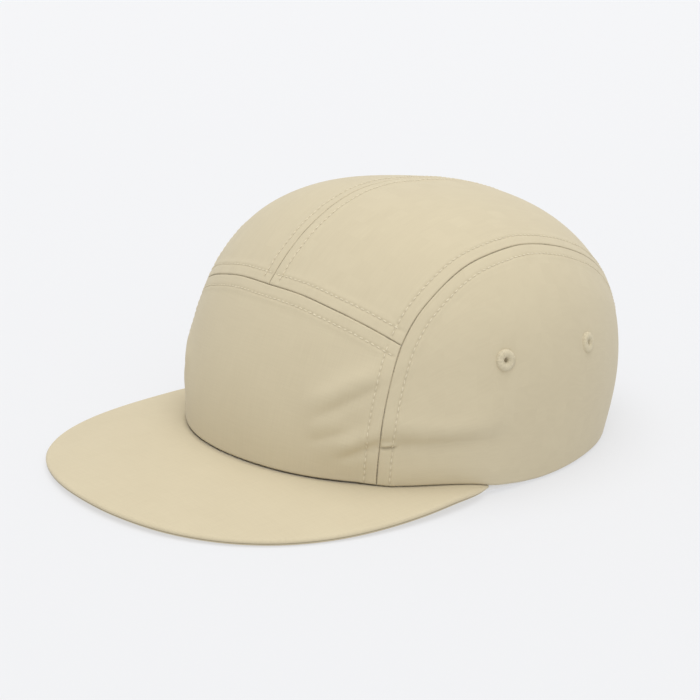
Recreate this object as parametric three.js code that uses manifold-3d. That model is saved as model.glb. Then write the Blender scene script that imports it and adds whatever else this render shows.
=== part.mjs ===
// A five-panel cap: a front panel, two top panels and two side panels round an open hollow for the head,
// with a flat peak, a sweatband, a strap with its slider across the back opening, and four sewn eyelets.
// Millimetres, +Z up. The wearer faces -Y, so the wearer's left is +X. The cap stands on its rim at z = 0,
// with the origin under the middle of its length.

import * as THREE from 'three';
import { mergeVertices } from 'three/addons/utils/BufferGeometryUtils.js';
import Module from 'manifold-3d';

const wasm = await Module();
wasm.setup();

const { degToRad, lerp, smoothstep } = THREE.MathUtils;

// Driving dimensions of the crown
const crownHeight = 109.8;
const crownSide = 89.2; // half of its widest width
const crownFront = 88.6; // furthest reach ahead of the section centre
const crownBack = 110.7; // furthest reach behind the section centre
const clothWall = 1.4; // outer cloth with its backing
const clearance = 0.3; // between any two pieces
const hemSide = 2; // height of the crown's edge just behind the peak
const hemRear = 0.5; // height of the crown's edge at the back
const openingHalfWidth = 42;
const openingHeight = 37;

// Driving dimensions of the peak
const peakLength = 63.8; // from the crown's front to the peak's edge
const peakOverhang = 2.8; // beyond the crown's widest width, each side
const peakWall = 2.8;
const peakCornerWall = 1; // at its corners, where the board inside it has ended
const peakRise = 3.4; // how far the peak climbs from its edge to the crown
const peakArch = 4.8; // how far its middle stands above its sides
const peakCornerDrop = 4.2; // how far its corners bend down to the rim
const peakCornerBend = 25; // length of that bend, over which the peak also thins
const peakTurn = degToRad(77); // where its corners meet the crown, from straight ahead

// Driving dimensions of the fittings
const bandHeight = 32;
const bandWall = 1.5;
const strapWidth = 20;
const strapWall = 1.2;
const strapFoot = 3; // height of the strap's lower edge
const strapTab = 14; // length sewn inside each side panel
const sliderWidth = 11; // along the strap
const sliderWall = 1.5;
const eyeletRadius = 4.25;
const eyeletHole = 1.5; // radius
const eyeletBarrel = 2.7; // radius of the thread through the cloth
const eyeletFlange = 0.7; // thickness of the thread on each face

// The crown in level sections, evenly spaced along its outline from the rim to the top:
// shares of its height and of its side, front and back reach
const crownSections = [
  { rise: 0, side: 0.966, front: 1, back: 0.922 },
  { rise: 0.167, side: 0.99, front: 0.984, back: 0.982 },
  { rise: 0.319, side: 1, front: 0.941, back: 1 },
  { rise: 0.469, side: 0.989, front: 0.873, back: 0.977 },
  { rise: 0.61, side: 0.946, front: 0.784, back: 0.912 },
  { rise: 0.734, side: 0.863, front: 0.675, back: 0.808 },
  { rise: 0.837, side: 0.74, front: 0.552, back: 0.674 },
  { rise: 0.914, side: 0.582, front: 0.419, back: 0.518 },
  { rise: 0.966, side: 0.399, front: 0.281, back: 0.35 },
  { rise: 0.993, side: 0.202, front: 0.141, back: 0.176 },
  { rise: 1, side: 0, front: 0, back: 0 },
];

// Seams, by their turn in degrees from straight ahead and their climb, a share of the way to the top
const sideSeam = [
  { turn: 48, climb: 0.2 },
  { turn: 48.8, climb: 0.3 },
  { turn: 50, climb: 0.361 },
  { turn: 53.5, climb: 0.43 },
  { turn: 61, climb: 0.501 },
  { turn: 72, climb: 0.562 },
  { turn: 86, climb: 0.592 },
  { turn: 101, climb: 0.6 },
  { turn: 115, climb: 0.573 },
  { turn: 127, climb: 0.525 },
  { turn: 137.5, climb: 0.462 },
  { turn: 146, climb: 0.375 },
  { turn: 153, climb: 0.265 },
];
const sideSeamTurn = 48; // where it meets the rim
const shoulderRow = 3; // its point, counted from the rim, where the front seam joins it
const frontSeam = [
  { turn: 0, climb: 0.453 },
  { turn: 19.5, climb: 0.443 },
  { turn: 31.5, climb: 0.42 },
  { turn: 42.5, climb: 0.389 },
];
const seamArchAngle = degToRad(39); // where the side seam meets the arch of the back opening

// Soft folds in the cloth, from one place to another: turn in degrees, rise as a share of the
// crown's height, and the height and half-width of the fold as shares of the crown's height
const folds = [
  { turn: 30, rise: 0.31, toTurn: 46, toRise: 0.45, lift: 0.016, reach: 0.055 },
  { turn: 36, rise: 0.18, toTurn: 46, toRise: 0.25, lift: 0.012, reach: 0.045 },
  { turn: 50, rise: 0.3, toTurn: 76, toRise: 0.3, lift: 0.019, reach: 0.065 },
  { turn: 51, rise: 0.13, toTurn: 72, toRise: 0.135, lift: 0.011, reach: 0.05 },
  { turn: -33, rise: 0.25, toTurn: -46, toRise: 0.34, lift: 0.012, reach: 0.05 },
  { turn: -53, rise: 0.34, toTurn: -72, toRise: 0.32, lift: 0.014, reach: 0.07 },
];

// The peak's edge from its tip to its corner: shares of its half-width, and of the way from the
// corners to the tip
const peakOutline = [
  { across: 0, ahead: 1 },
  { across: 0.19, ahead: 0.992 },
  { across: 0.377, ahead: 0.964 },
  { across: 0.557, ahead: 0.913 },
  { across: 0.716, ahead: 0.835 },
  { across: 0.843, ahead: 0.732 },
  { across: 0.93, ahead: 0.612 },
  { across: 0.979, ahead: 0.484 },
  { across: 0.999, ahead: 0.358 },
  { across: 1, ahead: 0.234 },
  { across: 0.982, ahead: 0.111 },
  { across: 0.956, ahead: 0.04 },
  { across: 0.921, ahead: 0 },
];

// The peak from its root to its edge: a share of the way to the start of its rounded edge, or a
// distance in from the edge, with the share of its thickness that it has there
const peakRows = [
  { share: 0, thick: 1 },
  { share: 0.25, thick: 1 },
  { share: 0.5, thick: 1 },
  { share: 0.75, thick: 1 },
  { share: 1, thick: 1 },
  { inset: 0.32, thick: 0.84 },
  { inset: 0, thick: 0.34 },
];
const peakRounding = 0.6; // depth of the rounded edge, as a share of the peak's thickness

// Eyelets on each side, from straight ahead
const eyelets = [
  { place: 'front', turn: 80.5, rise: 0.489 },
  { place: 'back', turn: 111, rise: 0.468 },
];

// Steps of the mesh along each edge
const frontSteps = 22;
const shoulderSteps = 10;
const topSteps = 28;
const innerSteps = 12; // along half of the front seam, and along the opening above the side seam
const bandSteps = 52;
const strapSteps = 22;
const peakSteps = 52;
const roundSteps = 14;

const clothColour = 0xcbbd9a;
const peakColour = 0xd8caa6;
const threadColour = 0xd6cbae;
const bandColour = 0xf1efea;
const strapColour = 0xc6b892;
const sliderColour = 0xb9ab88;

// The crown's outline on one side of it, carried on over the top so that it stays smooth there
function outline(column, reach) {
  const points = crownSections.map((row) => new THREE.Vector2(row[column] * reach, row.rise * crownHeight));
  const overTop = points.slice(-3, -1).reverse().map((point) => new THREE.Vector2(-point.x, point.y));
  return new THREE.SplineCurve([...points, ...overTop]);
}

const outlines = {
  side: outline('side', crownSide),
  front: outline('front', crownFront),
  back: outline('back', crownBack),
};
const topShare = (crownSections.length - 1) / (crownSections.length + 1);

function outlineAt(name, climb) {
  return outlines[name].getPoint(Math.max(climb, 0) * topShare);
}

// A place on the crown as a point of a flat disc: the top is its centre, the rim its edge, the front at -y
function place(turn, climb) {
  return new THREE.Vector2((1 - climb) * Math.sin(turn), -(1 - climb) * Math.cos(turn));
}

function crownPoint(spot) {
  const climb = 1 - spot.length();
  const turn = Math.atan2(spot.x, -spot.y);
  const side = outlineAt('side', climb);
  const front = outlineAt('front', climb).x;
  const back = outlineAt('back', climb).x;
  const ahead = ((front + back) / 2) * Math.cos(turn) + ((front - back) / 2) * Math.cos(turn) ** 2;
  return new THREE.Vector3(side.x * Math.sin(turn), -ahead, side.y);
}

// How the crown runs at a place, for a step along each axis of the disc
function crownSlopes(spot) {
  const step = 0.004;
  return [new THREE.Vector2(step, 0), new THREE.Vector2(0, step)].map((move) => {
    const from = spot.clone().sub(move);
    const to = spot.clone().add(move);
    return crownPoint(to).sub(crownPoint(from)).divideScalar(2 * step);
  });
}

function crownNormal(spot) {
  const [across, along] = crownSlopes(spot);
  return across.cross(along).normalize();
}

function climbAt(height) {
  let low = 0;
  let high = 1;
  for (let step = 0; step < 30; step += 1) {
    const middle = (low + high) / 2;
    if (outlineAt('side', middle).y < height) low = middle;
    else high = middle;
  }
  return low;
}

// A point at a set height, at a distance inside the crown's outer face
function wallPoint(turn, height, inset) {
  const spot = place(turn, climbAt(height));
  const level = crownNormal(spot).setZ(0);
  return crownPoint(spot).addScaledVector(level, -inset / level.lengthSq());
}

const foldLines = folds.map((fold) => ({
  line: new THREE.Line3(
    crownPoint(place(degToRad(fold.turn), climbAt(fold.rise * crownHeight))),
    crownPoint(place(degToRad(fold.toTurn), climbAt(fold.toRise * crownHeight))),
  ),
  lift: fold.lift * crownHeight,
  reach: fold.reach * crownHeight,
}));

// How far the folds lift the cloth at a point of the crown
function foldLift(point) {
  const nearest = new THREE.Vector3();
  return foldLines.reduce((sum, { line, lift, reach }) => {
    const away = point.distanceTo(line.closestPointToPoint(point, true, nearest)) / reach;
    return sum + lift * Math.exp(-away * away);
  }, 0);
}

function clothPoint(spot, inset) {
  const point = crownPoint(spot);
  return point.addScaledVector(crownNormal(spot), foldLift(point) - inset);
}

// A closed solid between two grids of points, the outer one seen with its columns to the right and
// its rows upwards
function solidBetween(outer, inner) {
  const columns = outer[0].length;
  const rows = outer.length;
  const points = [...outer.flat(), ...inner.flat()];
  const index = [];
  const at = (row, column, layer) => layer * rows * columns + row * columns + column;
  const quad = (a, b, c, d) => index.push(a, b, c, a, c, d);
  for (let row = 0; row + 1 < rows; row += 1) {
    for (let column = 0; column + 1 < columns; column += 1) {
      quad(at(row, column, 0), at(row, column + 1, 0), at(row + 1, column + 1, 0), at(row + 1, column, 0));
      quad(at(row, column, 1), at(row + 1, column, 1), at(row + 1, column + 1, 1), at(row, column + 1, 1));
    }
  }
  const edge = [];
  for (let column = 0; column + 1 < columns; column += 1) edge.push([0, column]);
  for (let row = 0; row + 1 < rows; row += 1) edge.push([row, columns - 1]);
  for (let column = columns - 1; column > 0; column -= 1) edge.push([rows - 1, column]);
  for (let row = rows - 1; row > 0; row -= 1) edge.push([row, 0]);
  edge.forEach(([row, column], i) => {
    const [nextRow, nextColumn] = edge[(i + 1) % edge.length];
    quad(at(row, column, 1), at(nextRow, nextColumn, 1), at(nextRow, nextColumn, 0), at(row, column, 0));
  });
  const geometry = new THREE.BufferGeometry().setFromPoints(points);
  geometry.setIndex(index);
  geometry.computeVertexNormals();
  return geometry;
}

// Places evenly spaced in length along a line on the crown
function evenly(line, steps) {
  const lengths = [0];
  for (let i = 1; i < line.length; i += 1) {
    lengths.push(lengths[i - 1] + crownPoint(line[i]).distanceTo(crownPoint(line[i - 1])));
  }
  const spaced = [];
  for (let step = 0, i = 1; step <= steps; step += 1) {
    const wanted = (lengths.at(-1) * step) / steps;
    while (i < line.length - 1 && lengths[i] < wanted) i += 1;
    const share = (wanted - lengths[i - 1]) / (lengths[i] - lengths[i - 1]);
    spaced.push(line[i - 1].clone().lerp(line[i], share));
  }
  return spaced;
}

function sample(from, to, makePoint, count = 120) {
  return Array.from({ length: count + 1 }, (unused, i) => makePoint(lerp(from, to, i / count)));
}

// The peak's plan and heights
const peakHalfWidth = crownSide + peakOverhang;
const peakReach = crownFront + peakLength;
const peakCorner = wallPoint(peakTurn, hemSide, 0);

function outlinePoint(row) {
  return new THREE.Vector2(row.across * peakHalfWidth, -lerp(-peakCorner.y, peakReach, row.ahead));
}

const leftEdge = peakOutline.map(outlinePoint);
const rightEdge = leftEdge.slice(1).reverse().map((point) => new THREE.Vector2(-point.x, point.y));
const peakEdge = new THREE.SplineCurve([...rightEdge, ...leftEdge]).getSpacedPoints(peakSteps);

// How far a point of the peak is into the bend at its corners, from 0 where the bend starts
function cornerShare(point) {
  return Math.max(0, 1 + (point.y - peakCorner.y) / peakCornerBend) ** 2;
}

// Height of the peak above its edge at the tip, when it is level there
function peakForm(point) {
  const climb = (peakRise * (point.y + peakReach)) / peakLength;
  return climb - peakArch * (point.x / peakHalfWidth) ** 2 - peakCornerDrop * cornerShare(point);
}

const peakLowest = Math.min(...peakEdge.map(peakForm));

function peakMiddle(point) {
  return peakForm(point) - peakLowest + peakWall / 2;
}

function peakThickness(point) {
  return lerp(peakWall, peakCornerWall, Math.min(cornerShare(point), 1));
}

// Height of the crown's edge: just over the peak, then down to the rim behind the peak's corners
function hemHeight(turn) {
  const past = Math.abs(turn) - peakTurn;
  const cornerDrop = degToRad(2.5);
  const rearTurn = degToRad(95);
  const root = wallPoint(Math.min(Math.abs(turn), peakTurn), peakWall, 0);
  const overPeak = peakMiddle(root) + peakThickness(root) / 2 + clearance;
  const behind = lerp(hemSide, hemRear, smoothstep(Math.abs(turn), peakTurn, rearTurn));
  return lerp(overPeak, behind, smoothstep(past, 0.2 * cornerDrop, cornerDrop));
}

function hemPlace(turn) {
  return place(turn, climbAt(hemHeight(turn)));
}

// A place on the half-moon edge of the back opening, from its foot at 0 to its top at a quarter turn
function archPlace(angle) {
  const climb = climbAt(lerp(hemRear, openingHeight, Math.sin(angle)));
  const across = openingHalfWidth * Math.cos(angle);
  return place(Math.PI - Math.asin(across / outlineAt('side', climb).x), climb);
}

// The seams as lines on the left half of the crown
const seamPlace = (row) => place(degToRad(row.turn), row.climb);
const seamPlaces = [hemPlace(degToRad(sideSeamTurn)), ...sideSeam.map(seamPlace), archPlace(seamArchAngle)];
const sideSeamCurve = new THREE.SplineCurve(seamPlaces);
const shoulderShare = shoulderRow / (seamPlaces.length - 1);
const seamPoint = (share) => sideSeamCurve.getPoint(share);
const mirrored = (line) => line.map((spot) => new THREE.Vector2(-spot.x, spot.y));
const reversed = (line) => [...line].reverse();

const leftFrontSeam = [...frontSeam.map(seamPlace), seamPoint(shoulderShare)];
const rightFrontSeam = reversed(mirrored(leftFrontSeam.slice(1)));
const frontSeamCurve = new THREE.SplineCurve([...rightFrontSeam, ...leftFrontSeam]);
const frontSeamPoint = (share) => frontSeamCurve.getPoint(share);

const seams = {
  low: sample(0, shoulderShare, seamPoint),
  high: sample(shoulderShare, 1, seamPoint),
  front: sample(0, 1, frontSeamPoint),
  frontLeft: sample(1, 0.5, frontSeamPoint),
  centre: sample(frontSeamPoint(0.5).y, archPlace(Math.PI / 2).y, (y) => new THREE.Vector2(0, y)),
  archLow: sample(0, seamArchAngle, archPlace),
  archHigh: sample(seamArchAngle, Math.PI / 2, archPlace),
};

const seamTurn = degToRad(sideSeamTurn);
const openingTurn = Math.atan2(archPlace(0).x, -archPlace(0).y);
const cornerTurns = [peakTurn + degToRad(0.4), peakTurn + degToRad(2.6)];
const sideHem = [
  ...evenly(sample(seamTurn, cornerTurns[0], hemPlace), 7),
  ...evenly(sample(cornerTurns[1], openingTurn, hemPlace), 22),
];
const lowSeam = evenly(seams.low, shoulderSteps);

// Each panel by its four edges, seen from outside
const panelEdges = {
  front_panel: {
    bottom: evenly(sample(-seamTurn, seamTurn, hemPlace), frontSteps),
    right: lowSeam,
    top: evenly(seams.front, frontSteps),
    left: mirrored(lowSeam),
  },
  side_panel_left: {
    bottom: sideHem,
    right: evenly(seams.archLow, shoulderSteps),
    top: evenly(seams.high, sideHem.length - 1),
    left: lowSeam,
  },
  top_panel_left: {
    bottom: evenly(seams.high, topSteps),
    right: evenly(seams.archHigh, innerSteps),
    top: evenly(seams.centre, topSteps),
    left: evenly(seams.frontLeft, innerSteps),
  },
};

function mirroredPanel({ bottom, right, top, left }) {
  return {
    bottom: reversed(mirrored(bottom)),
    right: mirrored(left),
    top: reversed(mirrored(top)),
    left: mirrored(right),
  };
}

panelEdges.side_panel_right = mirroredPanel(panelEdges.side_panel_left);
panelEdges.top_panel_right = mirroredPanel(panelEdges.top_panel_left);

// Draws a closed line of places in by half of the gap between two panels
function drawnIn(loop) {
  return loop.map((spot, i) => {
    const point = crownPoint(spot);
    const normal = crownNormal(spot);
    const before = point.clone().sub(crownPoint(loop.at(i - 1))).normalize();
    const after = crownPoint(loop[(i + 1) % loop.length]).sub(point).normalize();
    const inBefore = normal.clone().cross(before).normalize();
    const inAfter = normal.clone().cross(after).normalize();
    const both = inBefore.clone().add(inAfter);
    const move = both.multiplyScalar(clearance / 2 / (1 + inBefore.dot(inAfter)));
    const [across, along] = crownSlopes(spot);
    const cross = across.dot(along);
    const scale = across.lengthSq() * along.lengthSq() - cross * cross;
    const moveAcross = move.dot(across);
    const moveAlong = move.dot(along);
    return spot.clone().add(new THREE.Vector2(
      (moveAcross * along.lengthSq() - moveAlong * cross) / scale,
      (moveAlong * across.lengthSq() - moveAcross * cross) / scale,
    ));
  });
}

// A grid of places spread between four edges
function patch({ bottom, right, top, left }) {
  const columns = bottom.length - 1;
  const rows = left.length - 1;
  const loop = drawnIn([
    ...bottom.slice(0, -1),
    ...right.slice(0, -1),
    ...reversed(top).slice(0, -1),
    ...reversed(left).slice(0, -1),
  ]);
  const low = loop.slice(0, columns + 1);
  const far = loop.slice(columns, columns + rows + 1);
  const high = reversed(loop.slice(columns + rows, 2 * columns + rows + 1));
  const near = reversed([...loop.slice(2 * columns + rows), loop[0]]);
  return near.map((nearSpot, row) => low.map((lowSpot, column) => {
    const u = column / columns;
    const v = row / rows;
    const between = lowSpot.clone().lerp(high[column], v).add(nearSpot.clone().lerp(far[row], u));
    const corners = low[0].clone().lerp(low[columns], u).lerp(high[0].clone().lerp(high[columns], u), v);
    return between.sub(corners);
  }));
}

function panel(edges) {
  const spots = patch(edges);
  const layer = (inset) => spots.map((row) => row.map((spot) => clothPoint(spot, inset)));
  return solidBetween(layer(0), layer(clothWall));
}

function toSolid(geometry) {
  const bare = new THREE.BufferGeometry();
  bare.setAttribute('position', geometry.getAttribute('position').clone());
  bare.setIndex(geometry.getIndex());
  const merged = mergeVertices(bare, 1e-4);
  return new wasm.Manifold(new wasm.Mesh({
    numProp: 3,
    vertProperties: Float32Array.from(merged.getAttribute('position').array),
    triVerts: Uint32Array.from(merged.getIndex().array),
  }));
}

function fromSolid(solid) {
  const mesh = solid.getMesh();
  const geometry = new THREE.BufferGeometry();
  geometry.setAttribute('position', new THREE.BufferAttribute(mesh.vertProperties, 3));
  geometry.setIndex(new THREE.BufferAttribute(mesh.triVerts, 1));
  geometry.computeVertexNormals();
  return geometry;
}

// Stands a piece turned about +Y on the crown, its foot on the outer face and its axis outwards
function standOnCrown(geometry, turn, rise) {
  const spot = place(turn, climbAt(rise * crownHeight));
  const up = new THREE.Vector3(0, 1, 0);
  const turned = new THREE.Quaternion().setFromUnitVectors(up, crownNormal(spot));
  return geometry.applyQuaternion(turned).translate(...clothPoint(spot, 0).toArray());
}

function eyeletTurn(eyelet, side) {
  return side * degToRad(eyelet.turn);
}

function sidePanel(edges, side) {
  return fromSolid(eyelets.reduce((solid, eyelet) => {
    const drill = new THREE.CylinderGeometry(
      eyeletBarrel + clearance, eyeletBarrel + clearance, 8 * clothWall, roundSteps,
    );
    return solid.subtract(toSolid(standOnCrown(drill, eyeletTurn(eyelet, side), eyelet.rise)));
  }, toSolid(panel(edges))));
}

// How far the crown falls away from its tangent plane at a distance above or below a place
function crownBow(turn, rise, distance) {
  const point = crownPoint(place(turn, climbAt(rise * crownHeight)));
  const normal = crownNormal(place(turn, climbAt(rise * crownHeight)));
  const below = crownPoint(place(turn, climbAt(rise * crownHeight - distance)));
  return point.sub(below).dot(normal);
}

// The ring of thread round an eyelet, which grips the cloth from both faces, with room inside for
// the bow of the cloth and for the flats of its mesh
function eyeletRing(eyelet, side) {
  const bow = crownBow(eyeletTurn(eyelet, side), eyelet.rise, eyeletRadius);
  const outside = clearance;
  const inside = -clothWall - clearance - 2 * bow;
  const profile = [
    [eyeletHole, inside],
    [eyeletHole + 0.5 * eyeletFlange, inside - eyeletFlange],
    [eyeletRadius - eyeletFlange, inside - eyeletFlange],
    [eyeletRadius - 0.5 * eyeletFlange, inside],
    [eyeletBarrel, inside],
    [eyeletBarrel, outside],
    [eyeletRadius, outside],
    [eyeletRadius - 0.4 * eyeletFlange, outside + 0.8 * eyeletFlange],
    [(eyeletHole + eyeletRadius) / 2, outside + eyeletFlange],
    [eyeletHole + 0.4 * eyeletFlange, outside + 0.7 * eyeletFlange],
    [eyeletHole, outside],
    [eyeletHole, inside],
  ].map(([radius, height]) => new THREE.Vector2(radius, height));
  const ring = new THREE.LatheGeometry(profile, roundSteps);
  return standOnCrown(ring, eyeletTurn(eyelet, side), eyelet.rise);
}

// A band of even height inside the crown's wall, between two turns
function innerBand(fromTurn, toTurn, heights, wall, steps) {
  const inset = clothWall + clearance;
  const layer = (depth) => heights.map((height) => (
    sample(fromTurn, toTurn, (turn) => wallPoint(turn, height, depth), steps)
  ));
  return solidBetween(layer(inset), layer(inset + wall));
}

// The angle that a length covers along the rim, at the edge of the back opening
function turnFor(length) {
  const probe = degToRad(1);
  const rim = (turn) => wallPoint(turn, strapFoot, clothWall);
  return (probe * length) / rim(openingTurn).distanceTo(rim(openingTurn - probe));
}

const strapTurn = openingTurn - turnFor(strapTab);
const bandTurn = strapTurn - turnFor(clearance);
const strapTop = strapFoot + strapWidth;

function sweatband() {
  const heights = [0, bandHeight / 3, (2 * bandHeight) / 3, bandHeight];
  return innerBand(-bandTurn, bandTurn, heights, bandWall, bandSteps);
}

function backStrap() {
  return innerBand(strapTurn, 2 * Math.PI - strapTurn, [strapFoot, strapTop], strapWall, strapSteps);
}

function roundedBox(shape, width, height, corner) {
  const x = width / 2;
  const y = height / 2;
  shape.moveTo(-x + corner, -y);
  shape.lineTo(x - corner, -y).quadraticCurveTo(x, -y, x, -y + corner);
  shape.lineTo(x, y - corner).quadraticCurveTo(x, y, x - corner, y);
  shape.lineTo(-x + corner, y).quadraticCurveTo(-x, y, -x, y - corner);
  shape.lineTo(-x, -y + corner).quadraticCurveTo(-x, -y, -x + corner, -y);
  return shape;
}

// The slider is a flat sleeve round the strap at the middle of the back
function strapSlider() {
  const inset = clothWall + clearance + strapWall / 2;
  const foot = wallPoint(Math.PI, strapFoot, inset);
  const top = wallPoint(Math.PI, strapTop, inset);
  const bow = foot.y - wallPoint(Math.PI - turnFor(sliderWidth / 2), strapFoot, inset).y;
  const slotDepth = strapWall + 2 * clearance + bow;
  const slotHeight = foot.distanceTo(top) + 2 * clearance;
  const outer = roundedBox(new THREE.Shape(), slotDepth + 2 * sliderWall, slotHeight + 2 * sliderWall, 1);
  outer.holes.push(roundedBox(new THREE.Path(), slotDepth, slotHeight, 0.3));
  const sleeve = new THREE.ExtrudeGeometry(outer, {
    depth: sliderWidth,
    bevelEnabled: false,
    curveSegments: 3,
  });
  const lean = Math.atan2(top.y - foot.y, top.z - foot.z);
  const middle = foot.clone().lerp(top, 0.5);
  sleeve.translate(0, 0, -sliderWidth / 2);
  sleeve.applyMatrix4(new THREE.Matrix4().makeBasis(
    new THREE.Vector3(0, 1, 0),
    new THREE.Vector3(0, 0, 1),
    new THREE.Vector3(1, 0, 0),
  ));
  return sleeve.rotateX(-lean).translate(0, middle.y - bow / 2, middle.z);
}

function peak() {
  const rounding = peakRounding * peakWall;
  const rootPoint = (turn, side) => {
    const root = wallPoint(turn, peakWall, clothWall);
    return wallPoint(turn, peakMiddle(root) + (side * peakThickness(root)) / 2, clothWall);
  };
  const layer = (side) => peakRows.map((row) => peakEdge.map((edge, i) => {
    const root = rootPoint(lerp(-peakTurn, peakTurn, i / peakSteps), side);
    const start = new THREE.Vector2(root.x, root.y);
    const length = start.distanceTo(edge);
    const inset = Math.min(rounding, length / 2);
    const reach = row.share === undefined ? length - row.inset * inset : row.share * (length - inset);
    const point = start.lerp(edge, reach / length);
    const half = (row.thick * peakThickness(point)) / 2;
    return new THREE.Vector3(point.x, point.y, peakMiddle(point) + side * half);
  }));
  return solidBetween(reversed(layer(1)), reversed(layer(-1)));
}

const cap = new THREE.Group();

function addPiece(name, geometry, color, roughness, metalness = 0) {
  const mesh = new THREE.Mesh(geometry, new THREE.MeshStandardMaterial({ color, roughness, metalness }));
  mesh.name = name;
  cap.add(mesh);
}

addPiece('front_panel', panel(panelEdges.front_panel), clothColour, 0.85);
addPiece('top_panel_left', panel(panelEdges.top_panel_left), clothColour, 0.85);
addPiece('top_panel_right', panel(panelEdges.top_panel_right), clothColour, 0.85);
addPiece('side_panel_left', sidePanel(panelEdges.side_panel_left, 1), clothColour, 0.85);
addPiece('side_panel_right', sidePanel(panelEdges.side_panel_right, -1), clothColour, 0.85);
addPiece('peak', peak(), peakColour, 0.85);
addPiece('sweatband', sweatband(), bandColour, 0.9);
addPiece('back_strap', backStrap(), strapColour, 0.8);
addPiece('strap_slider', strapSlider(), sliderColour, 0.5);
eyelets.forEach((eyelet) => {
  addPiece(`eyelet_left_${eyelet.place}`, eyeletRing(eyelet, 1), threadColour, 0.7);
  addPiece(`eyelet_right_${eyelet.place}`, eyeletRing(eyelet, -1), threadColour, 0.7);
});

cap.position.y = (peakReach - crownBack) / 2;

export default cap;
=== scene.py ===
# %% [markdown]
# # A five-panel cap, finished for the camera
#
# The cap arrives as a frame of plain, closed solids at their real size: five cloth panels, a peak, a
# sweatband, a strap with its slider and four eyelets. Those solids say where everything is. This notebook
# makes what the eye sees: cloth with a weave, seams that are rolled and topstitched, thread, and light.

# %% Load the frame
import math
import random

import bmesh
import bpy
from mathutils import Matrix, Vector, noise
from mathutils.bvhtree import BVHTree
from mathutils.kdtree import KDTree


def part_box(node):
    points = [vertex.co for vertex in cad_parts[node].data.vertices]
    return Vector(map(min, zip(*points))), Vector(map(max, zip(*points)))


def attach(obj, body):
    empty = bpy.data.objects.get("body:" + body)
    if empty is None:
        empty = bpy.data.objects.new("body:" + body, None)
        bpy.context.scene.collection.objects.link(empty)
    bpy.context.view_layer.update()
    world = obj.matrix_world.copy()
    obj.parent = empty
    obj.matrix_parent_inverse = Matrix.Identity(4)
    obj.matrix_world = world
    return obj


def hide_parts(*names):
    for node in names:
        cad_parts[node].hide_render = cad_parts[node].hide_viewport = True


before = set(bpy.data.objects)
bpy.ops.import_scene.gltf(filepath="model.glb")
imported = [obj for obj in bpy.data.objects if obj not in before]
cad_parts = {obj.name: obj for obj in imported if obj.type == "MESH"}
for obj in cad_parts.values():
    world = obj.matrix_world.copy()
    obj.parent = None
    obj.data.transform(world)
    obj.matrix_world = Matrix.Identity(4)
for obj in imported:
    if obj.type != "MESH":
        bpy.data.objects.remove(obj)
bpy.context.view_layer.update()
MM = 0.001
print("solids in the frame:", ", ".join(sorted(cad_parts)))

# %% [markdown]
# ## The camera
#
# The cap is seen from its front left, a little from above, through a long lens. A camera matrix has the
# camera's right, up and backward directions as its columns, so two angles and a distance place it. It aims
# at a point near the middle of the crown, moved a little to the side and up so that the cap sits in the
# picture where it should.

# %% Camera
CAMERA_TURN = math.radians(51.269)
CAMERA_CLIMB = math.radians(15.926)
CAMERA_ROLL = math.radians(0.315)
CAMERA_DISTANCE = 703.5 * MM
CROWN_FOOT = Vector((0, 20.85, 1.8)) * MM
AIM_RIGHT = -17.48 * MM
AIM_UP = 32.55 * MM
LENS = 82.41  # for a sensor 36 mm wide
CLIP = (0.05, 100)

back = Vector((
    math.sin(CAMERA_TURN) * math.cos(CAMERA_CLIMB),
    -math.cos(CAMERA_TURN) * math.cos(CAMERA_CLIMB),
    math.sin(CAMERA_CLIMB),
))
right = Vector((math.cos(CAMERA_TURN), math.sin(CAMERA_TURN), 0))
up = back.cross(right)
place = CROWN_FOOT + back * CAMERA_DISTANCE + right * AIM_RIGHT + up * AIM_UP
camera = bpy.data.objects.new("camera", bpy.data.cameras.new("camera"))
camera.data.lens = LENS
camera.data.clip_start, camera.data.clip_end = CLIP
upright = Matrix((right, up, back)).transposed()
camera.matrix_world = Matrix.Translation(place) @ (upright @ Matrix.Rotation(CAMERA_ROLL, 3, "Z")).to_4x4()
bpy.context.scene.collection.objects.link(camera)
bpy.context.scene.camera = camera
print("camera at", [round(value, 3) for value in place])

# %% [markdown]
# ## Floor and light
#
# Product photographs like this one are lit from everywhere at once, so the cap throws only a faint, wide
# shadow. A bright world gives that even light. One sun with a very wide disc stands for the big soft box
# straight above, which makes the top and the peak lighter than the walls, and a weaker one low on the
# camera's side fills the walls. The table is a light table: more than half of its brightness is its own glow,
# so that hardly any shadow is left under the edge of the peak, and the rest is paint that the lamps light.

# %% Floor and light
FLOOR_REACH = 9.0
FLOOR_ROUGHNESS = 0.9
FLOOR_COLOUR = (0.24, 0.2415, 0.2455, 1)
FLOOR_GLOW_COLOUR = (1, 1.004, 1.022, 1)
FLOOR_GLOW = 0.55
WORLD_COLOUR = (0.985, 0.99, 1, 1)
WORLD_STRENGTH = 0.72
LAMP_DISC = math.radians(60)
LAMPS = {  # strength, turn from the camera's side and climb above the table, in degrees
    "soft_box": (1.65, 0, 90),
    "front_fill": (0.6, 10, 28),
}

floor_shape = bmesh.new()
bmesh.ops.create_grid(floor_shape, x_segments=1, y_segments=1, size=FLOOR_REACH)
floor_mesh = bpy.data.meshes.new("floor")
floor_shape.to_mesh(floor_mesh)
floor_shape.free()
floor_paint = bpy.data.materials.new("floor_paint")
floor_paint.use_nodes = True
floor_shader = floor_paint.node_tree.nodes["Principled BSDF"]
floor_shader.inputs["Base Color"].default_value = FLOOR_COLOUR
floor_shader.inputs["Roughness"].default_value = FLOOR_ROUGHNESS
floor_shader.inputs["Emission Color"].default_value = FLOOR_GLOW_COLOUR
floor_shader.inputs["Emission Strength"].default_value = FLOOR_GLOW
floor_mesh.materials.append(floor_paint)
floor = bpy.data.objects.new("floor", floor_mesh)
bpy.context.scene.collection.objects.link(floor)

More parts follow.
